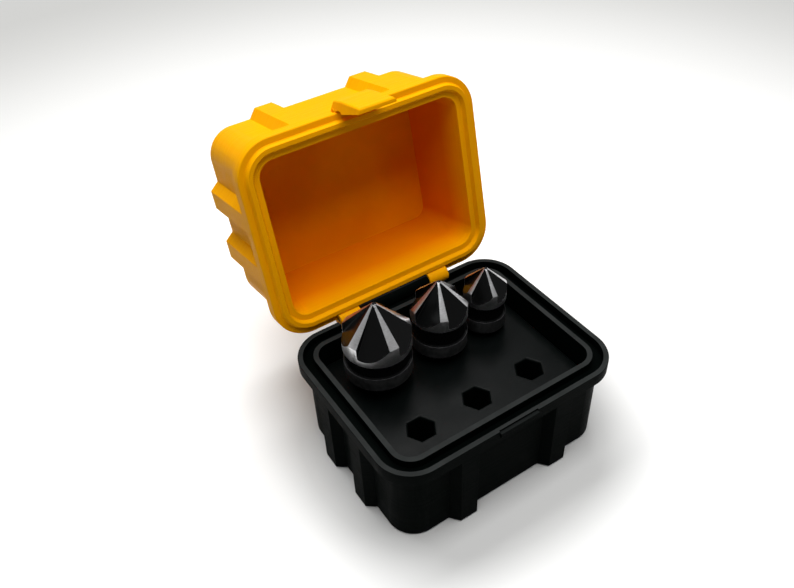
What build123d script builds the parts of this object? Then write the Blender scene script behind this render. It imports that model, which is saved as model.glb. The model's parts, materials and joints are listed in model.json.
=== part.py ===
from build123d import *
from math import cos, radians, sin, tan
import os

# A small hinged case for countersink bits. All sizes are millimetres.
# The origin is the middle of the underside, X runs along the hinge, Y towards it, Z up.
# Each half is drawn in its closed place; the lid and its latch are swung open at the end.

# Outline shared by the two halves
case_length = 73.8
case_depth = 58.6
corner_radius = 10.5
flange_side = 3.7
flange_overhang = 2.6
base_edge_round = 0.15
lid_edge_round = 0.4
foot_chamfer = 0.5

# Height of each half, and the gap left between the rims when shut
base_height = 29.4
lid_height = 27.4
rim_gap = 0.15

# Rim, measured inwards from the outer edge
groove_outer_inset = 1.5
groove_inner_inset = 4.4
groove_depth = 2.6
tongue_outer_inset = 1.8
tongue_inner_inset = 4.2
tongue_height = 1.3
tongue_taper = 24.0
cavity_inset = 5.9
base_floor = 2.4
lid_roof = 2.0
lid_cavity_draft = 2.4

# Upright ribs on all four sides, flush with the flange
rib_face = 5.4
rib_slope = 2.1
rib_bite = 0.4
front_rib_spacing = 31.0
side_rib_spacing = 16.0

# Drop-in insert with two rows of hexagonal sockets
insert_gap = 0.3
deck_height = 21.7
deck_edge_chamfer = 0.4
socket_across_flats = 7.0
socket_depth = 17.0
socket_mouth_chamfer = 0.35
front_row_to_wall = 11.7
front_row_to_side = 12.45
back_row_to_wall = 13.25
# Shares of the free length of the back row that lie to the left of each head
large_gap_share = 0.2734
medium_gap_share = 0.205
small_gap_share = 0.1331

# Hinge: a middle barrel on the base, a knuckle each side of it on the lid
hinge_stand_off = 0.3
barrel_radius = 2.5
barrel_half_length = 11.8
knuckle_inner_x = 12.1
knuckle_outer_x = 18.9
barrel_clearance = 0.3
pin_diameter = 1.75
pin_half_length = 18.7
pin_end_chamfer = 0.2
barrel_bore_clearance = 0.03
knuckle_bore_clearance = 0.08
open_angle = 102.5

# Heel behind the middle barrel, which the open lid rests on
heel_gap = 0.1
heel_reach = 3.75
heel_back_height = 2.6
heel_root_drop = 9.2
heel_root_bite = 0.2

# Latch on the front of the lid: heights are taken down from the lid's rim
latch_half_width = 6.2
latch_side_slope = 20.0
latch_stand_out = 3.05
latch_back_gap = 0.2
latch_root_height = 3.0
latch_root_drop = 0.8
latch_step = 3.4
latch_step_drop = 0.3
latch_reach = 11.7
latch_end_face = 1.4
latch_relief = 0.45
latch_relief_height = 0.2
latch_bump = 0.5
latch_catch_drop = 2.1
latch_tip_face = 0.5
latch_edge_round = 0.7
pivot_height = 2.0
pivot_inset = -0.1
pivot_radius = 0.7
pivot_clearance = 0.08

# Catch bar on the front of the base, under a slot in the edge of the rim
bar_half_width = 6.3
bar_slot_cut = 0.5
bar_slot_drop = 0.55
bar_stand_out = 0.5
bar_height = 1.25

# Countersink bits: a five-flute 90 degree head, a waist, a collar and a hexagonal shank
shank_across_flats = 6.35
shank_seat_gap = 0.1
shank_end_chamfer = 0.6
detent_height = 9.5
detent_half_width = 1.5
detent_radius = 2.6
flute_count = 5
flute_floor_lean = 10.0
flute_root_ratio = 0.02
flute_apex_rise = 0.3
flute_start = 0.1
flute_reach = 22.0
waist_cut = 0.5
waist_blend = 0.4
collar_chamfer = 0.9
neck_radius = 3.0
neck_length = 0.8
large_radius = 9.6
large_rise = 28.7
large_run_out = 12.9
large_margin = 5.4
large_waist = 4.5
large_collar = 5.2
large_first_flute = -83.0
medium_radius = 8.15
medium_rise = 25.8
medium_run_out = 11.2
medium_margin = 4.05
medium_waist = 5.8
medium_collar = 5.1
medium_first_flute = -107.0
small_radius = 6.3
small_rise = 22.4
small_run_out = 9.1
small_margin = 4.6
small_waist = 5.1
small_collar = 5.0
small_first_flute = -94.0

# Values that follow from the ones above
wall_length = case_length - 2 * flange_overhang
wall_depth = case_depth - 2 * flange_overhang
wall_radius = corner_radius - flange_overhang
flange_height = flange_side + flange_overhang
parting = base_height + rim_gap
front_face = -case_depth / 2
socket_floor = deck_height - socket_depth
cavity_half_length = case_length / 2 - cavity_inset
cavity_half_depth = case_depth / 2 - cavity_inset
front_row_y = front_row_to_wall - cavity_half_depth
back_row_y = cavity_half_depth - back_row_to_wall
front_row_end = cavity_half_length - front_row_to_side
free_length = 2 * (cavity_half_length - large_radius - medium_radius - small_radius)
large_x = large_gap_share * free_length + large_radius - cavity_half_length
medium_x = large_x + large_radius + medium_gap_share * free_length + medium_radius
small_x = medium_x + medium_radius + small_gap_share * free_length + small_radius
hinge_y = case_depth / 2 + hinge_stand_off
hinge_z = base_height
heel_root_y = wall_depth / 2 - heel_root_bite
hinge_line = Axis((0, hinge_y, hinge_z), (1, 0, 0))
bit_sizes = (
    dict(
        name="countersink_large",
        x=large_x,
        radius=large_radius,
        tip=deck_height + large_rise,
        run_out=large_run_out,
        margin=large_margin,
        waist=large_waist,
        collar=large_collar,
        first_flute=large_first_flute,
    ),
    dict(
        name="countersink_medium",
        x=medium_x,
        radius=medium_radius,
        tip=deck_height + medium_rise,
        run_out=medium_run_out,
        margin=medium_margin,
        waist=medium_waist,
        collar=medium_collar,
        first_flute=medium_first_flute,
    ),
    dict(
        name="countersink_small",
        x=small_x,
        radius=small_radius,
        tip=deck_height + small_rise,
        run_out=small_run_out,
        margin=small_margin,
        waist=small_waist,
        collar=small_collar,
        first_flute=small_first_flute,
    ),
)


def inset_outline(inset):
    """Rounded rectangle a given distance inside the outer edge of the case."""
    RectangleRounded(case_length - 2 * inset, case_depth - 2 * inset, corner_radius - inset)


def rib_plan(half_length, spacing, turn):
    """Two ribs on each of a pair of opposite sides, drawn in plan."""
    face = half_length
    wall = half_length - flange_overhang
    inner = wall - rib_bite
    with PolarLocations(0, 2, start_angle=turn, rotate=True):
        with Locations((0, -spacing / 2), (0, spacing / 2)):
            Polygon(
                (inner, -rib_face / 2 - rib_slope),
                (wall, -rib_face / 2 - rib_slope),
                (face, -rib_face / 2),
                (face, rib_face / 2),
                (wall, rib_face / 2 + rib_slope),
                (inner, rib_face / 2 + rib_slope),
                align=None,
            )


def hinge_cylinder(radius, x_from, x_to, mode=Mode.ADD):
    """Round bar or bore on the hinge line between two X positions."""
    middle_x = (x_from + x_to) / 2
    with Locations(Location((middle_x, hinge_y, hinge_z), (0, 90, 0))):
        Cylinder(radius, x_to - x_from, mode=mode)


# ---------------------------------------------------------------- base shell
with BuildPart() as base_shell:
    with BuildSketch(Plane.XY.offset(base_height - flange_height)):
        inset_outline(0)
    extrude(amount=flange_height)
    chamfer(base_shell.edges().group_by(Axis.Z)[0], flange_overhang)
    fillet(base_shell.edges().group_by(Axis.Z)[-1], base_edge_round)
    with BuildSketch(Plane.XY):
        RectangleRounded(wall_length, wall_depth, wall_radius)
    extrude(amount=base_height - flange_height)
    with BuildSketch(Plane.XY):
        rib_plan(case_depth / 2, front_rib_spacing, 90)
        rib_plan(case_length / 2, side_rib_spacing, 0)
    extrude(amount=base_height - flange_side)
    chamfer(base_shell.edges().group_by(Axis.Z)[0], foot_chamfer)
    with BuildSketch(Plane.XY.offset(base_floor)):
        inset_outline(cavity_inset)
    extrude(amount=base_height, mode=Mode.SUBTRACT)
    with BuildSketch(Plane.XY.offset(base_height - groove_depth)):
        inset_outline(groove_outer_inset)
        RectangleRounded(
            case_length - 2 * groove_inner_inset,
            case_depth - 2 * groove_inner_inset,
            corner_radius - groove_inner_inset,
            mode=Mode.SUBTRACT,
        )
    extrude(amount=groove_depth, mode=Mode.SUBTRACT)
    # Room for the lid's knuckles
    for side in (-1, 1):
        ends = sorted((side * barrel_half_length, side * (knuckle_outer_x + barrel_clearance)))
        hinge_cylinder(barrel_radius + barrel_clearance, *ends, mode=Mode.SUBTRACT)
    # Middle barrel, and the heel behind it with its top along the open lid
    lean = radians(open_angle - 90)
    top_gap = hinge_stand_off - heel_gap
    heel_y = hinge_y + top_gap * sin(lean) + heel_reach * cos(lean)
    heel_z = hinge_z + top_gap * cos(lean) - heel_reach * sin(lean)
    with BuildSketch(Plane.YZ.offset(-barrel_half_length)):
        with Locations((hinge_y, hinge_z)):
            Circle(barrel_radius)
        Polygon(
            (heel_root_y, hinge_z - barrel_radius),
            (hinge_y + top_gap * sin(lean), hinge_z + top_gap * cos(lean)),
            (heel_y, heel_z),
            (heel_y, heel_z - heel_back_height),
            (heel_root_y, hinge_z - heel_root_drop),
            align=None,
        )
    extrude(amount=2 * barrel_half_length)
    bore = pin_diameter / 2 + barrel_bore_clearance
    hinge_cylinder(bore, -barrel_half_length, barrel_half_length, mode=Mode.SUBTRACT)
    # Slot in the front edge of the rim, and the bar below it that the latch hooks under
    slot_back = front_face + bar_slot_cut
    bar_front = front_face - bar_stand_out
    bar_top = base_height - bar_slot_drop
    with BuildSketch(Plane.YZ.offset(-bar_half_width)):
        Polygon(
            (bar_front, base_height),
            (slot_back, base_height),
            (slot_back, bar_top),
            (bar_front, bar_top),
            align=None,
        )
    extrude(amount=2 * bar_half_width, mode=Mode.SUBTRACT)
    with BuildSketch(Plane.YZ.offset(-bar_half_width)):
        Polygon(
            (slot_back, bar_top),
            (bar_front, bar_top),
            (bar_front, bar_top - bar_height),
            (front_face, bar_top - bar_height - bar_stand_out),
            (slot_back, bar_top - bar_height - bar_stand_out),
            align=None,
        )
    extrude(amount=2 * bar_half_width)

# ------------------------------------------------------------------- insert
with BuildPart() as bit_tray:
    with BuildSketch(Plane.XY.offset(base_floor)):
        inset_outline(cavity_inset + insert_gap)
    extrude(amount=deck_height - base_floor)
    chamfer(bit_tray.edges().group_by(Axis.Z)[-1], deck_edge_chamfer)
    socket_places = [(x, front_row_y) for x in (-front_row_end, 0, front_row_end)]
    socket_places += [(size["x"], back_row_y) for size in bit_sizes]
    with BuildSketch(Plane.XY.offset(deck_height)):
        with Locations(*socket_places):
            RegularPolygon(socket_across_flats / 2, 6, major_radius=False)
    extrude(amount=-socket_depth, mode=Mode.SUBTRACT)
    mouths = bit_tray.faces().sort_by(Axis.Z)[-1].inner_wires().edges()
    chamfer(mouths, socket_mouth_chamfer)

# ---------------------------------------------------------------- hinge pin
with BuildPart() as hinge_pin:
    hinge_cylinder(pin_diameter / 2, -pin_half_length, pin_half_length)
    chamfer(hinge_pin.edges().filter_by(GeomType.CIRCLE), pin_end_chamfer)

# -------------------------------------------------------- lid shell, closed
with BuildPart() as lid_shell:
    with BuildSketch(Plane.XY.offset(parting)):
        inset_outline(0)
    extrude(amount=flange_height)
    chamfer(lid_shell.edges().group_by(Axis.Z)[-1], flange_overhang)
    fillet(lid_shell.edges().group_by(Axis.Z)[0], lid_edge_round)
    with BuildSketch(Plane.XY.offset(parting + flange_height)):
        RectangleRounded(wall_length, wall_depth, wall_radius)
    extrude(amount=lid_height - flange_height)
    with BuildSketch(Plane.XY.offset(parting + flange_side)):
        rib_plan(case_depth / 2, front_rib_spacing, 90)
        rib_plan(case_length / 2, side_rib_spacing, 0)
    extrude(amount=lid_height - flange_side)
    chamfer(lid_shell.edges().group_by(Axis.Z)[-1], foot_chamfer)
    with BuildSketch(Plane.XY.offset(parting)):
        inset_outline(cavity_inset)
    extrude(amount=lid_height - lid_roof, taper=lid_cavity_draft, mode=Mode.SUBTRACT)
    # Tongue that drops into the base's groove
    with BuildSketch(Plane.XY.offset(parting)):
        inset_outline(tongue_outer_inset)
        RectangleRounded(
            case_length - 2 * tongue_inner_inset,
            case_depth - 2 * tongue_inner_inset,
            corner_radius - tongue_inner_inset,
            mode=Mode.SUBTRACT,
        )
    extrude(amount=-tongue_height, taper=tongue_taper)
    # Room for the middle barrel
    middle = knuckle_inner_x
    hinge_cylinder(barrel_radius + barrel_clearance, -middle, middle, mode=Mode.SUBTRACT)
    # Knuckles, each with a sloping web up to the flange
    web = barrel_radius * cos(radians(45))
    for side in (-1, 1):
        near, far = sorted((side * knuckle_inner_x, side * knuckle_outer_x))
        with BuildSketch(Plane.YZ.offset(near)):
            with Locations((hinge_y, hinge_z)):
                Circle(barrel_radius)
            Polygon(
                (hinge_y - web, hinge_z + web),
                (hinge_y, hinge_z),
                (hinge_y + web, hinge_z + web),
                (case_depth / 2, parting + flange_side),
                (hinge_y - web, parting + flange_side),
                align=None,
            )
        extrude(amount=far - near)
    bore = pin_diameter / 2 + knuckle_bore_clearance
    hinge_cylinder(bore, -knuckle_outer_x, knuckle_outer_x, mode=Mode.SUBTRACT)
    # Seat for the latch's pivot
    with BuildSketch(Plane.YZ.offset(-latch_half_width - barrel_clearance)):
        with Locations((front_face + pivot_inset, parting + pivot_height)):
            Circle(pivot_radius + pivot_clearance)
    extrude(amount=2 * (latch_half_width + barrel_clearance), mode=Mode.SUBTRACT)

# ------------------------------------------------------------ latch, closed
latch_back = front_face - latch_back_gap
latch_front = front_face - latch_stand_out
latch_shoulder = parting + latch_root_height - latch_root_drop
latch_end = parting - latch_reach
relief_y = latch_back - latch_relief
tip_y = relief_y + latch_bump
tip_z = parting - latch_catch_drop - latch_bump
with BuildPart() as snap_latch:
    with BuildSketch(Plane.YZ.offset(-latch_half_width)):
        Polygon(
            (latch_back, parting + latch_root_height),
            (latch_front + latch_step_drop, latch_shoulder),
            (latch_front, latch_shoulder - latch_step),
            (latch_front, latch_end),
            (latch_front + latch_end_face, latch_end),
            (tip_y, tip_z - latch_tip_face),
            (tip_y, tip_z),
            (relief_y, parting - latch_catch_drop),
            (relief_y, parting + latch_relief_height - latch_relief),
            (latch_back, parting + latch_relief_height),
            align=None,
        )
    extrude(amount=2 * latch_half_width)
    for side in (-1, 1):
        slope = Plane(
            origin=(side * latch_half_width, latch_back, 0),
            x_dir=(0, 0, 1),
            z_dir=(side * cos(radians(latch_side_slope)), -sin(radians(latch_side_slope)), 0),
        )
        split(bisect_by=slope, keep=Keep.BOTTOM)
    fillet(snap_latch.faces().sort_by(Axis.Y)[:2].edges(), latch_edge_round)
    with BuildSketch(Plane.YZ.offset(-latch_half_width)):
        with Locations((front_face + pivot_inset, parting + pivot_height)):
            Circle(pivot_radius)
    extrude(amount=2 * latch_half_width)

# --------------------------------------------------------------------- bits
bits = []
for size in bit_sizes:
    radius = size["radius"]
    tip = size["tip"]
    shoulder = tip - radius
    margin_low = shoulder - size["margin"]
    waist_low = margin_low - size["waist"]
    collar_low = waist_low - size["collar"]
    waist_radius = radius - waist_cut
    shank_low = socket_floor + shank_seat_gap
    with BuildPart() as bit:
        with BuildSketch(Plane.XZ):
            Polygon(
                (0, tip),
                (radius, shoulder),
                (radius, margin_low),
                (waist_radius, margin_low - waist_blend),
                (waist_radius, waist_low + waist_blend),
                (radius, waist_low),
                (radius, collar_low + collar_chamfer),
                (radius - collar_chamfer, collar_low),
                (neck_radius, collar_low),
                (neck_radius, collar_low - neck_length),
                (0, collar_low - neck_length),
                align=None,
            )
        revolve(axis=Axis.Z)
        # Flutes: a straight rake face, a rounded root, and a floor that rises to the next land
        root_drop = (size["run_out"] + flute_apex_rise) / radius
        for step in range(flute_count):
            turn = radians(size["first_flute"] + step * 360 / flute_count)
            root = Vector(cos(turn), sin(turn), -root_drop).normalized()
            for reach in (flute_start, flute_reach):
                section = Plane(
                    origin=Vector(0, 0, tip + flute_apex_rise) + root * reach,
                    x_dir=(-sin(turn), cos(turn), 0),
                    z_dir=root,
                )
                with BuildSketch(section) as flute:
                    Polygon(
                        (0, 0),
                        (reach, -reach * tan(radians(flute_floor_lean))),
                        (reach, reach),
                        (0, reach),
                        align=None,
                    )
                    corner = flute.vertices().sort_by_distance(section.origin)[0]
                    fillet(corner, reach * flute_root_ratio)
            loft(mode=Mode.SUBTRACT)
        with BuildSketch(Plane.XY.offset(shank_low)):
            RegularPolygon(shank_across_flats / 2, 6, major_radius=False)
        extrude(amount=collar_low - neck_length - shank_low)
        chamfer(bit.faces().sort_by(Axis.Z)[0].edges(), shank_end_chamfer)
        detent = shank_low + detent_height
        with BuildSketch(Plane.XZ):
            Polygon(
                (socket_across_flats, detent - detent_half_width),
                (shank_across_flats / 2 + shank_end_chamfer, detent - detent_half_width),
                (detent_radius, detent - detent_half_width / 3),
                (detent_radius, detent + detent_half_width / 3),
                (shank_across_flats / 2 + shank_end_chamfer, detent + detent_half_width),
                (socket_across_flats, detent + detent_half_width),
                align=None,
            )
        revolve(axis=Axis.Z, mode=Mode.SUBTRACT)
    placed = bit.part.moved(Location((size["x"], back_row_y, 0)))
    placed.label = size["name"]
    bits.append(placed)

# ------------------------------------------------------------------- export
base_shell.part.label = "base_shell"
bit_tray.part.label = "bit_tray"
hinge_pin.part.label = "hinge_pin"
lid_open = lid_shell.part.rotate(hinge_line, -open_angle)
lid_open.label = "lid_shell"
latch_open = snap_latch.part.rotate(hinge_line, -open_angle)
latch_open.label = "snap_latch"

os.makedirs("parts", exist_ok=True)
export_step(base_shell.part, "parts/base_shell.step")
export_step(bit_tray.part, "parts/bit_tray.step")
export_step(hinge_pin.part, "parts/hinge_pin.step")
export_step(lid_open, "parts/lid_shell.step")
export_step(latch_open, "parts/snap_latch.step")
for placed in bits:
    export_step(placed, f"parts/{placed.label}.step")
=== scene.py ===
import bpy
import json
from math import pi, radians
from mathutils import Matrix, Vector


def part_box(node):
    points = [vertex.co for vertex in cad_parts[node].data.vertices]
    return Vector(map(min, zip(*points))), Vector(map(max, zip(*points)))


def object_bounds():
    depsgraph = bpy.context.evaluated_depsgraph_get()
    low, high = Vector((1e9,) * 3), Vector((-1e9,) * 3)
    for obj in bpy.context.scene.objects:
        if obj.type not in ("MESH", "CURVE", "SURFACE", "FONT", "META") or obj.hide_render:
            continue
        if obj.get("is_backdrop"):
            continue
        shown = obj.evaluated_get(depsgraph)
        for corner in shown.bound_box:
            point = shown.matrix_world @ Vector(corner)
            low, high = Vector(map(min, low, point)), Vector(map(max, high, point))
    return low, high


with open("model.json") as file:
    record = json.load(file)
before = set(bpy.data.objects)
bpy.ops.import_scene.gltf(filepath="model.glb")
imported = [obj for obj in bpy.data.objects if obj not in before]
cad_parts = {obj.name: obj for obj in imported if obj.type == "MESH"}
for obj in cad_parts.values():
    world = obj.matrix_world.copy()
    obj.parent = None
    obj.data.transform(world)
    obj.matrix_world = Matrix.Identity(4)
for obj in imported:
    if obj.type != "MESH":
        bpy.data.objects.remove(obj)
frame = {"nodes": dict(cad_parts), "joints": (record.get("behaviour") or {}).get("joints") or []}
nodes = frame["nodes"]
cad_low, cad_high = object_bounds()
print("case box", [round(v, 4) for v in cad_low], "to", [round(v, 4) for v in cad_high])

# %% [markdown]
# The case is seen from its front left corner and from above, so that the open lid, the three bits
# and the empty sockets all show. A camera can be parented to an empty at the point it looks at.
# Here it is turned towards that point once and then rolled, because then its place, its aim and
# the tilt of the horizon each stand on a line of their own. It stands close and has a short lens,
# as a phone does, which makes the near corner of the base look large.

# %% Camera
eye = Vector((-0.092145, -0.124697, 0.189286))
aim = Vector((0.006756, 0.038483, 0.020000))
horizon_tilt = radians(-3.177)

camera_data = bpy.data.cameras.new("camera")
camera_data.sensor_width = 36.0
camera_data.lens = 36.314
camera_data.clip_start = 0.005
camera = bpy.data.objects.new("camera", camera_data)
bpy.context.scene.collection.objects.link(camera)
towards = (aim - eye).to_track_quat("-Z", "Y").to_matrix().to_4x4()
camera.matrix_world = Matrix.Translation(eye) @ towards @ Matrix.Rotation(horizon_tilt, 4, "Z")
bpy.context.scene.camera = camera
print("camera to aim point", round((aim - eye).length, 3), "m")

# %% [markdown]
# Every finish below is a graph of nodes with sums in it. Wired one node at a time, each sum takes
# four lines and its idea is lost. So an output socket is wrapped in a small class whose plus,
# minus and times add the Math node by themselves, and a mask can be written as 1 - mask.

# %% A socket that can be added and multiplied
class Wire:
    """An output socket whose arithmetic adds Math nodes to its graph."""

    def __init__(self, socket):
        self.socket = socket

    def maths(self, operation, first, second=0.0):
        node = self.socket.id_data.nodes.new("ShaderNodeMath")
        node.operation = operation
        connect(node.inputs[0], first)
        connect(node.inputs[1], second)
        return Wire(node.outputs[0])

    def __add__(self, other):
        return self.maths("ADD", self, other)

    def __radd__(self, other):
        return self.maths("ADD", other, self)

    def __sub__(self, other):
        return self.maths("SUBTRACT", self, other)

    def __rsub__(self, other):
        return self.maths("SUBTRACT", other, self)

    def __mul__(self, other):
        return self.maths("MULTIPLY", self, other)

    def __rmul__(self, other):
        return self.maths("MULTIPLY", other, self)

    def __abs__(self):
        return self.maths("ABSOLUTE", self)

    def or_more(self, other):
        """The larger of the two."""
        return self.maths("MAXIMUM", self, other)

    def sine(self):
        return self.maths("SINE", self)


def connect(place, value):
    """Links a wire to an input socket, or sets a plain value on it."""
    if isinstance(value, Wire):
        place.id_data.links.new(value.socket, place)
    else:
        place.default_value = value


# %% [markdown]
# All other nodes are added by one method. A node's settings go in before its sockets, because a
# Mix node that is told to blend colours changes which of its sockets are used. The same class
# serves the world as well as a material, since both own a graph that ends in an output node.

# %% A finish is a graph of nodes
class Finish:
    """The nodes of a material or of the world."""

    def __init__(self, owner):
        self.owner = owner
        owner.use_nodes = True
        self.graph = owner.node_tree
        self.graph.nodes.clear()

    def node(self, kind, settings=None, sockets=None, output=0):
        node = self.graph.nodes.new(kind)
        for name, value in (settings or {}).items():
            setattr(node, name, value)
        for name, value in (sockets or {}).items():
            connect(node.inputs[name], value)
        return Wire(node.outputs[output])

    def blend(self, share, first, second):
        """The colour that lies a share of the way from the first to the second."""
        inputs = {0: share, 6: first, 7: second}
        return self.node("ShaderNodeMix", {"data_type": "RGBA"}, inputs, 2)

    def rise(self, value, low, high):
        """0 where the value is under low, 1 where it is over high, a slope in between."""
        limits = {"Value": value, "From Min": low, "From Max": high}
        return self.node("ShaderNodeMapRange", {"clamp": True}, limits)

    def vector_sum(self, operation, first, second=(0, 0, 0), output=0):
        """A sum with vectors, whose output 1 is a plain number, such as a length."""
        inputs = {0: first, 1: second}
        return self.node("ShaderNodeVectorMath", {"operation": operation}, inputs, output)

    def along(self, vector, axis):
        """How far a place or a direction reaches along an axis."""
        return self.vector_sum("DOT_PRODUCT", vector, axis, 1)

    def length(self, vector):
        return self.vector_sum("LENGTH", vector, output=1)

    def end(self, kind, shader):
        ending = self.graph.nodes.new(kind)
        connect(ending.inputs["Surface"], shader)
        return self.owner


# %% [markdown]
# Noise keeps a plain plastic from looking like a drawing. A Noise texture crowds its values round
# one half, so its middle part is stretched to run from 0 to 1. The scale is given as the size of
# a lump in metres, which is easier to judge on the real thing than a number of repeats. Places
# and directions are read in the object's own coordinates, so the pattern moves with the lid.

# %% Places, directions and clouds
cloud_range = (0.35, 0.65)


def own_place(finish):
    return finish.node("ShaderNodeTexCoord", output=3)


def own_direction(finish):
    """The way the surface faces."""
    return finish.node("ShaderNodeTexCoord", output=1)


def clouds(finish, place, lump, detail):
    texture = {"Vector": place, "Scale": 1 / lump, "Detail": detail}
    noise = finish.node("ShaderNodeTexNoise", None, texture)
    return finish.rise(noise, *cloud_range)


# %% [markdown]
# The case comes off a printer that lays down plastic in layers 0.2 mm high, so its walls carry
# fine level rows, and its flat faces carry the nozzle's strokes, which run at 45 degrees. The lid
# is printed roof down and stands open here, so its layers lean with it. Its own upward and
# backward directions come from turning the upright ones about the hinge, by the angle that the
# hinge allows.

# %% Which way the layers lie
lid_hinge = next(joint for joint in frame["joints"] if joint["name"] == "lid_hinge")
hinge_place = Vector(lid_hinge["pos_m"])
open_angle = lid_hinge["range_deg"][1]
swing = Matrix.Rotation(radians(-open_angle), 3, "X")
base_up, base_back = Vector((0, 0, 1)), Vector((0, 1, 0))
lid_up, lid_back = swing @ base_up, swing @ base_back
print("the lid stands open", open_angle, "degrees; its up is now", [round(v, 3) for v in lid_up])

# %% [markdown]
# Layer rows could be modelled, but 150 of them round the walls would only make the part heavy, so
# they are a bump: a sine wave along the upward direction on walls, and one along the diagonal on
# faces that look straight up or down. The bump is about 0.01 mm high and fades in patches, as the
# plastic doesn't flow evenly. Some runs of layers come out a little proud or a little shiny, which
# shows from further off than the layers do. That is a noise that only changes with height.

# %% Rows and strokes of the nozzle
layer_height = 0.0002
stroke_width = 0.00045
band_height = 0.0009
band_range = (0.38, 0.62)
flat_range = (0.93, 0.98)


def nozzle_marks(plastic, place, level, up, back):
    """Height of the printed texture, the bands of layers, and the mask of the flat faces."""
    facing_up = abs(plastic.along(own_direction(plastic), up))
    flat = plastic.rise(facing_up, *flat_range)
    rows = (level * (2 * pi / layer_height)).sine()
    diagonal = (Vector((1, 0, 0)) + back).normalized()
    strokes = (plastic.along(place, diagonal) * (2 * pi / stroke_width)).sine()
    uneven = {"W": level, "Scale": 1 / band_height, "Detail": 3.0}
    noise = plastic.node("ShaderNodeTexNoise", {"noise_dimensions": "1D"}, uneven)
    bands = plastic.rise(noise, *band_range)
    on_wall = 1 - flat
    return rows * on_wall + strokes * flat, bands * on_wall, flat


# %% [markdown]
# Yellow filament lets some light through, and the hollow of the lid glows a deeper orange than the
# outside, because light that reaches it has passed through plastic or off it several times. Real
# light transport inside the wall would need subsurface scattering, which is slow and is lost in
# most exports. So the light is painted into the colour instead: painted bounce light, with painted
# shade on the walls and painted light on the roof, through a mask on the place: how far in from the
# rim, and how far from the middle. It ends half way through the wall, and it is round at the
# corners like the wall itself.

# %% Mask of the lid's hollow
hinge_to_middle = 0.0296
corner_across, corner_along = 0.0264, 0.0188
wall_range = (0.0061, 0.0064)
roof_range = (0.0262, 0.0264)
shade_range = (0.0004, 0.0100)


def past(distance, start):
    """How far a distance goes beyond a start, and nothing before it."""
    return (distance - start).or_more(0.0)


def inside_lid(plastic, place):
    inward = plastic.along(place, lid_up) - lid_up.dot(hinge_place)
    across = abs(plastic.along(place, (1, 0, 0)))
    along = abs(plastic.along(place, lid_back) - lid_back.dot(hinge_place) + hinge_to_middle)
    beyond_corner = {"X": past(across, corner_across), "Y": past(along, corner_along)}
    from_corner = plastic.length(plastic.node("ShaderNodeCombineXYZ", None, beyond_corner))
    between_walls = 1 - plastic.rise(from_corner, *wall_range)
    above_roof = 1 - plastic.rise(inward, *roof_range)
    return between_walls * above_roof * plastic.rise(inward, *shade_range)


# %% [markdown]
# The lid and the latch are a warm yellow, the base and the insert black. A black that still looks
# black under a strong lamp is very dark. Each of the two has a paler tone for the clouds and bands
# in it. The flat lips of the base carry a painted sheen, a dark grey for the light their tops
# catch, and the hollow of the lid carries painted bounce light, a deep orange with painted shade on
# its walls and a lighter one with painted light on its roof.

# %% Colours of the plastic
black = (0.0006, 0.0013, 0.0011, 1)
black_pale = (0.0013, 0.0024, 0.0020, 1)
# Painted sheen: the lips' grey is lighter for the light that their top faces catch.
lip_painted_sheen_grey = (0.0280, 0.0305, 0.0300, 1)
deck_black = (0.0010, 0.0019, 0.0018, 1)
yellow = (0.96, 0.390, 0.0004, 1)
yellow_pale = (0.99, 0.440, 0.0006, 1)
# Painted bounce light: deeper orange with painted shade on the hollow's walls, lighter orange with
# painted light on its roof.
wall_painted_bounce_orange = (0.86, 0.225, 0.0003, 1)
roof_painted_bounce_orange = (1.00, 0.360, 0.0003, 1)

# %% [markdown]
# The colour of the plastic drifts a little over some millimetres, where the melt was hotter or
# cooler, and its bands of layers are a trace paler. Flat faces above a given height have a tone of
# their own, since the nozzle irons them; on the base's lips that tone is a painted sheen. The lid's
# hollow takes its painted bounce light last.

# %% Tone of the plastic
drift_in_tone = 0.4
ironed_and_sheen_step = 0.0009
ironed_and_sheen_everywhere = 0.75
# Painted shade: darker patches on the roof of the hollow.
roof_painted_shade_lump = 0.022
roof_painted_shade_share = 0.6


def printed_tone(plastic, drift, bands, colour, pale):
    return plastic.blend(drift * drift_in_tone + bands * (1 - drift_in_tone), colour, pale)


# On the base's lips this tone is a painted sheen; elsewhere it is the plastic's own tone.
def ironed_and_sheen_tone(plastic, tone, flat, level, drift, ironed_and_sheen, ironed_and_sheen_above):
    high_enough = plastic.rise(level, ironed_and_sheen_above, ironed_and_sheen_above + ironed_and_sheen_step)
    patches = ironed_and_sheen_everywhere + (1 - ironed_and_sheen_everywhere) * drift
    return plastic.blend(flat * high_enough * patches, tone, ironed_and_sheen)


# Painted bounce light and painted shade in the lid's hollow.
def hollow_painted_bounce_tone(plastic, tone, flat, place):
    patches = clouds(plastic, place, roof_painted_shade_lump, detail=1.0)
    on_roof = flat * (1 - roof_painted_shade_share * patches)
    painted_bounce = plastic.blend(on_roof, wall_painted_bounce_orange, roof_painted_bounce_orange)
    return plastic.blend(inside_lid(plastic, place), tone, painted_bounce)


# %% [markdown]
# The plastic has a soft sheen: its gloss is weak and spread wide. Sheen could come from a coat, but
# filament has no lacquer on it, so the roughness alone varies, with the same drift, grain and bands
# that colour and raise the surface.

# %% Printed plastic
drift_lump, grain_lump = 0.006, 0.0004
steady_marks = 0.4
grain_height = 0.6
bump_height = 0.00001
rough_by_drift, smooth_by_grain, smooth_by_bands = 0.08, 0.04, 0.06


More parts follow.
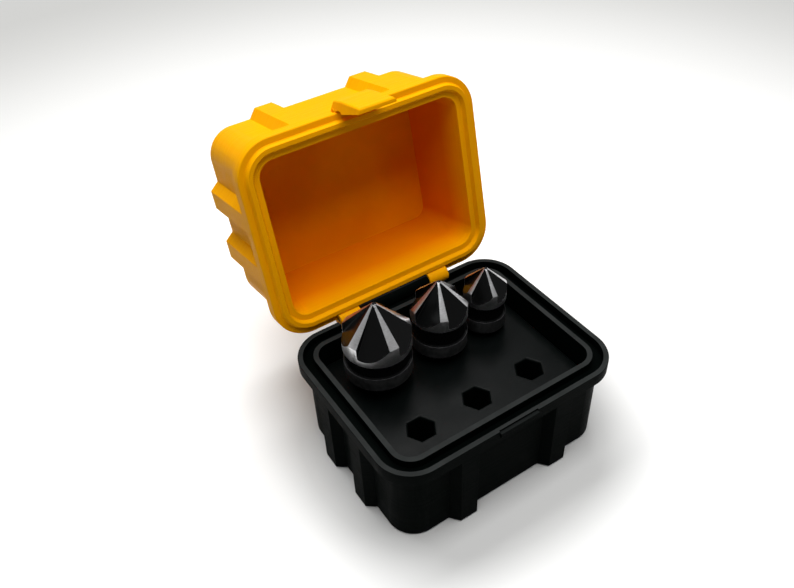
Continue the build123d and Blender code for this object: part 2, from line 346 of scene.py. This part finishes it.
def printed_plastic(
    name, colour, pale, ironed_and_sheen, up, back, ironed_and_sheen_above, roughness, gloss, hollowed=False
):
    plastic = Finish(bpy.data.materials.new(name))
    place = own_place(plastic)
    level = plastic.along(place, up)
    marks, bands, flat = nozzle_marks(plastic, place, level, up, back)
    drift = clouds(plastic, place, drift_lump, detail=3.0)
    grain = clouds(plastic, place, grain_lump, detail=2.0)
    tone = printed_tone(plastic, drift, bands, colour, pale)
    tone = ironed_and_sheen_tone(plastic, tone, flat, level, drift, ironed_and_sheen, ironed_and_sheen_above)
    if hollowed:
        tone = hollow_painted_bounce_tone(plastic, tone, flat, place)
    height = marks * (steady_marks + (1 - steady_marks) * drift) + grain_height * grain + bands
    bump = {"Strength": 0.5, "Distance": bump_height, "Height": height}
    uneven = rough_by_drift * drift - smooth_by_grain * grain - smooth_by_bands * bands
    surface = {
        "Base Color": tone,
        "Roughness": roughness + uneven,
        "Specular IOR Level": gloss,
        "Normal": plastic.node("ShaderNodeBump", None, bump),
    }
    shader = plastic.node("ShaderNodeBsdfPrincipled", None, surface)
    return plastic.end("ShaderNodeOutputMaterial", shader)


# %% [markdown]
# The gloss of the black is turned down, since a clear gloss over black turns it grey. The insert
# was printed finer than the base and is smoother, so its deck mirrors the bits. Only the lips of
# the base and the deck of the insert are high enough to take the tone of the flat faces, which on
# the lips is a painted sheen. The flat faces of the lid take it at all heights, which leaves them
# hardly any paler clouds.

# %% The three plastics
on_lips = 0.0285
on_deck = 0.0200
at_any_height = -1.0

black_plastic = printed_plastic(
    "satin_black", black, black_pale, lip_painted_sheen_grey, base_up, base_back,
    ironed_and_sheen_above=on_lips, roughness=0.50, gloss=0.008,
)
deck_plastic = printed_plastic(
    "smooth_black", black, black_pale, deck_black, base_up, base_back,
    ironed_and_sheen_above=on_deck, roughness=0.34, gloss=0.08,
)
yellow_plastic = printed_plastic(
    "golden_yellow", yellow, yellow_pale, yellow, lid_up, lid_back,
    ironed_and_sheen_above=at_any_height, roughness=0.46, gloss=0.018, hollowed=True,
)
print("plastics", black_plastic.name, deck_plastic.name, yellow_plastic.name)

# %% [markdown]
# A printed or ground edge is never knife sharp, and it is the thin bright line along an edge that
# tells the eye how big a thing is. The shapes come as many triangles, so a Bevel modifier alone
# would find no clean edges. First the loose corners are welded and flat triangles are joined into
# whole faces, and then the bevel rounds each corner sharper than 28 degrees.

# %% Dressing a piece
weld_distance = 0.000002
flat_within = radians(0.5)
sharp_corner = radians(28)


def dress(name, finish):
    piece = nodes[name]
    piece.data.materials.clear()
    piece.data.materials.append(finish)
    for face in piece.data.polygons:
        face.material_index = 0
    return piece


def soften(piece, width):
    piece.modifiers.new("weld", "WELD").merge_threshold = weld_distance
    join = piece.modifiers.new("join_flat_faces", "DECIMATE")
    join.decimate_type = "DISSOLVE"
    join.angle_limit = flat_within
    edge = piece.modifiers.new("soft_edges", "BEVEL")
    edge.width = width
    edge.segments = 3
    edge.limit_method = "ANGLE"
    edge.angle_limit = sharp_corner
    edge.harden_normals = True
    shown = piece.evaluated_get(bpy.context.evaluated_depsgraph_get())
    print(piece.name, "edges rounded", width * 1000, "mm,", len(shown.data.polygons), "faces")


# %% [markdown]
# The pieces that a hand holds have the softest edges. The insert drops into the base, so its edges
# stay tighter, and the pin hides in the barrel and needs only its finish.

# %% Case pieces
finish_and_edge = {
    "base_shell": (black_plastic, 0.00025),
    "bit_tray": (deck_plastic, 0.0002),
    "lid_shell": (yellow_plastic, 0.00045),
    "snap_latch": (yellow_plastic, 0.0003),
}
for name, (finish, width) in finish_and_edge.items():
    soften(dress(name, finish), width)
dress("hinge_pin", black_plastic)

# %% [markdown]
# A countersink bit is turned from tool steel and blackened in an oxide bath, and only then are
# the cutting lands and the rim of its head ground, so these alone are bare metal. The two could be
# separate materials on separate faces. Masks are used instead, worked out from the distance to
# the bit's own axis and down from its tip: on the lands of a 90 degree cone those two are equal.
# The flutes come close to both surfaces where they run out, so the way a face looks decides too.

# %% Where a bit is ground bright
land_lean = 0.7071
lean_range = (0.07, 0.11)
land_range = (0.00008, 0.00014)
upright_range = (0.30, 0.45)
skin_deep, skin_thin = 0.00010, 0.00004
soft_line = 0.0001


def ground_places(steel, place, axis, tip, radius, margin, waist):
    """Masks of the lands on the cone, of the rim below them and of the collar."""
    sideways = steel.vector_sum("SUBTRACT", place, axis)
    out = steel.length(steel.vector_sum("MULTIPLY", sideways, (1, 1, 0)))
    drop = tip - steel.along(place, (0, 0, 1))
    looks_up = steel.along(own_direction(steel), (0, 0, 1))
    sloping = 1 - steel.rise(abs(looks_up - land_lean), *lean_range)
    at_land = 1 - steel.rise(abs(drop - out), *land_range)
    on_cone = sloping * at_land * (1 - steel.rise(drop, radius, radius + soft_line))
    upright = 1 - steel.rise(abs(looks_up), *upright_range)
    full_width = steel.rise(out, radius - skin_deep, radius - skin_thin)
    rim_end = radius + margin
    on_rim = upright * full_width * (1 - steel.rise(drop, rim_end - soft_line, rim_end))
    collar_start = rim_end + waist
    on_collar = full_width * steel.rise(drop, collar_start - soft_line, collar_start)
    return on_cone, on_rim, on_collar


# %% [markdown]
# A grinding wheel leaves fine lines that run round the cone. They are a noise that is squeezed
# along the axis and drawn out across it. The blackened steel is smoother than the ground steel, and
# the collar is worn a little grey where the chuck grips it.

# %% Steel of one bit
blackened = (0.0030, 0.0032, 0.0033, 1)
worn = (0.20, 0.20, 0.205, 1)
ground_dark = (0.56, 0.56, 0.565, 1)
ground_bright = (0.68, 0.68, 0.69, 1)
line_stretch = (0.12, 0.12, 1.0)
line_width, hand_lump = 0.00012, 0.0015
worn_everywhere = 0.7
faint_lines = 0.2
bare_metal_collar = 0.9
smooth, rougher_if_bare, rougher_if_handled = 0.20, 0.10, 0.05


def cutter_steel(name, axis, tip, radius, margin, waist):
    steel = Finish(bpy.data.materials.new(name))
    place = own_place(steel)
    on_cone, on_rim, on_collar = ground_places(steel, place, axis, tip, radius, margin, waist)
    ground = on_cone.or_more(on_rim)
    stretched = steel.node("ShaderNodeMapping", None, {"Vector": place, "Scale": line_stretch})
    lines = clouds(steel, stretched, line_width, detail=2.0)
    handled = clouds(steel, place, hand_lump, detail=4.0)
    bright = steel.blend(lines, ground_dark, ground_bright)
    rubbed = on_collar * (worn_everywhere + (1 - worn_everywhere) * handled)
    dark = steel.blend(rubbed, blackened, worn)
    relief = lines * (faint_lines + (1 - faint_lines) * ground)
    bump = {"Strength": 0.35, "Distance": bump_height, "Height": relief}
    bare = on_cone + on_rim + on_collar
    surface = {
        "Base Color": steel.blend(ground, dark, bright),
        "Metallic": ground.or_more(on_collar * bare_metal_collar),
        "Roughness": smooth + rougher_if_bare * bare + rougher_if_handled * handled,
        "Specular IOR Level": 0.08,
        "Normal": steel.node("ShaderNodeBump", None, bump),
    }
    shader = steel.node("ShaderNodeBsdfPrincipled", None, surface)
    return steel.end("ShaderNodeOutputMaterial", shader)


# %% [markdown]
# The three bits differ in size only. The place and width of each are read from its box, and the
# table adds the heights of the ground rim and of the waist below it. A ground edge is crisp, so
# its rounding is much smaller than that of the printed ones.

# %% The three bits
bit_edge = 0.00003
rim_and_waist = {
    "countersink_large": (0.0054, 0.0045),
    "countersink_medium": (0.00405, 0.0058),
    "countersink_small": (0.0046, 0.0051),
}
for name, (margin, waist) in rim_and_waist.items():
    low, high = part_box(name)
    axis = ((low[0] + high[0]) / 2, (low[1] + high[1]) / 2, 0)
    radius = (high[0] - low[0]) / 2
    steel_name = name.replace("countersink", "steel")
    steel = cutter_steel(steel_name, axis, high[2], radius, margin, waist)
    soften(dress(name, steel), bit_edge)

# %% [markdown]
# The paper and the room below answer each kind of ray in their own way, and a Light Path node tells
# the kinds apart. What the camera sees straight on, in a mirror or through something clear counts
# as seen. All other rays carry light from one surface to the next.

# %% Kinds of ray
def seen_rays(finish):
    """The mask of rays from the camera, and that of all rays that end in something seen."""
    rays = finish.node("ShaderNodeLightPath").socket.node.outputs
    camera_ray, mirror_ray, clear_ray = [
        Wire(rays[f"Is {kind} Ray"]) for kind in ("Camera", "Glossy", "Transmission")
    ]
    return camera_ray, camera_ray + mirror_ray + clear_ray


# %% [markdown]
# The case stands on a sheet of white paper. What the eye sees as white paper would also throw a
# lot of light back up at the case and wash out the hollow of the lid, so the paper is white for
# the camera and for reflections, and greyer for light that bounces on. The white that is seen goes
# a little above one, which no real paper does. Close to the case it is painted darker, a painted
# shadow round its foot, and far from the case it is painted greyer, painted shade where the lamps
# fall off. A Mix Shader between two plain diffuse ones keeps the case's own shadow on it. Far
# behind the case the lamps no longer reach the sheet, so there it glows by itself into the white
# of the room.

# %% Paper
# Painted shadow: the paper seen close to the case is darker.
painted_shadow_white = (0.76, 0.76, 0.75, 1)
full_white = (1.20, 1.20, 1.19, 1)
# Painted shade: the paper seen far from the case is greyer.
painted_falloff_grey = (0.72, 0.72, 0.70, 1)
bounced_grey = (0.55, 0.55, 0.55, 1)
glowing_white = (0.86, 0.86, 0.85, 1)
painted_shadow_range = (0.045, 0.075)
painted_falloff_range = (0.15, 0.40)
glowing_range = (0.32, 0.62)

paper = Finish(bpy.data.materials.new("white_paper"))
camera_ray, seen = seen_rays(paper)
away = paper.length(own_place(paper))
near = paper.blend(paper.rise(away, *painted_shadow_range), painted_shadow_white, full_white)
white = paper.blend(paper.rise(away, *painted_falloff_range), near, painted_falloff_grey)
bouncing = paper.node("ShaderNodeBsdfDiffuse", None, {"Color": bounced_grey})
visible = paper.node("ShaderNodeBsdfDiffuse", None, {"Color": white})
both = paper.node("ShaderNodeMixShader", None, {0: seen, 1: bouncing, 2: visible})
far_white = paper.node("ShaderNodeEmission", None, {"Color": glowing_white})
far_away = paper.rise(away, *glowing_range) * camera_ray
sheet_finish = paper.node("ShaderNodeMixShader", None, {0: far_away, 1: both, 2: far_white})
paper.end("ShaderNodeOutputMaterial", sheet_finish)
print("paper white near", painted_shadow_white[0], "full", full_white[0], "far", painted_falloff_grey[0])

# %% [markdown]
# The sheet itself is one face, large enough that no view sees its edge. It lies a hair below the
# case's feet, so that the two don't flicker through each other.

# %% Floor
reach = 3.0
gap_below_feet = 0.00005
corners = [(-reach, -reach, 0), (reach, -reach, 0), (reach, reach, 0), (-reach, reach, 0)]
sheet = bpy.data.meshes.new("floor")
sheet.from_pydata(corners, [], [(0, 1, 2, 3)])
sheet.materials.append(paper.owner)
floor = bpy.data.objects.new("floor", sheet)
floor.location.z = cad_low[2] - gap_below_feet
bpy.context.scene.collection.objects.link(floor)
floor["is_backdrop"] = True
print("floor at", round(floor.location.z * 1000, 3), "mm")

# %% [markdown]
# Round the case is a plain room, white at the level of the table and greyer towards its ceiling. It
# fills the shadows a little, and it is what the steel and the deck mirror. The two jobs are split
# by the kind of ray: bright to look at, and a low level as light, so that the lamps above still
# model the shapes.

# %% Room
fill = 0.06
wall_white, ceiling_grey = 0.9, 0.20
greying_range = (0.10, 0.55)

room = Finish(bpy.data.worlds.new("studio"))
bpy.context.scene.world = room.owner
upward = room.along(room.node("ShaderNodeTexCoord"), (0, 0, 1))
shade = wall_white - (wall_white - ceiling_grey) * room.rise(upward, *greying_range)
seen = seen_rays(room)[1]
strength = fill + (shade - fill) * seen
white_room = {"Color": (1, 1, 1, 1), "Strength": strength}
room.end("ShaderNodeOutputWorld", room.node("ShaderNodeBackground", None, white_room))
print("room white", wall_white, "to", ceiling_grey, "with fill", fill)

# %% [markdown]
# Two wide lamps hang over the case, like the lit ceiling of a light tent. One stands over its front
# and shines into the lid, and one stands behind, which lights the lid's back and its upper edge
# and leaves the hollow in shade. Their width decides how soft the shadows' edges are.

# %% Lamps
lit_point = Vector((0, 0.02, 0.03))


def soft_lamp(name, place, width, depth, watts):
    """A flat lamp, as wide and deep as given, that shines at the case."""
    light = bpy.data.lights.new(name, "AREA")
    light.shape = "RECTANGLE"
    light.size = width
    light.size_y = depth
    light.energy = watts
    lamp = bpy.data.objects.new(name, light)
    lamp.location = place
    lamp.rotation_euler = (lit_point - lamp.location).to_track_quat("-Z", "Y").to_euler()
    bpy.context.scene.collection.objects.link(lamp)
    brightness = light.energy / (pi * width * depth)
    print(name, watts, "W,", round(brightness, 1), "times the paper's white")


soft_lamp("front_lamp", (0.0, -0.08, 0.55), width=0.50, depth=0.30, watts=2.4)
soft_lamp("back_lamp", (0.02, 0.26, 0.55), width=0.50, depth=0.20, watts=2.2)
bpy.context.scene.view_settings.view_transform = "Standard"

# %% [markdown]
# Last, the box of what is seen is written beside the box of the solids. Rounding an edge can only
# take plastic away, so the two must agree.

# %% Boxes
low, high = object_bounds()
print("seen box", [round(v, 4) for v in low], "to", [round(v, 4) for v in high])
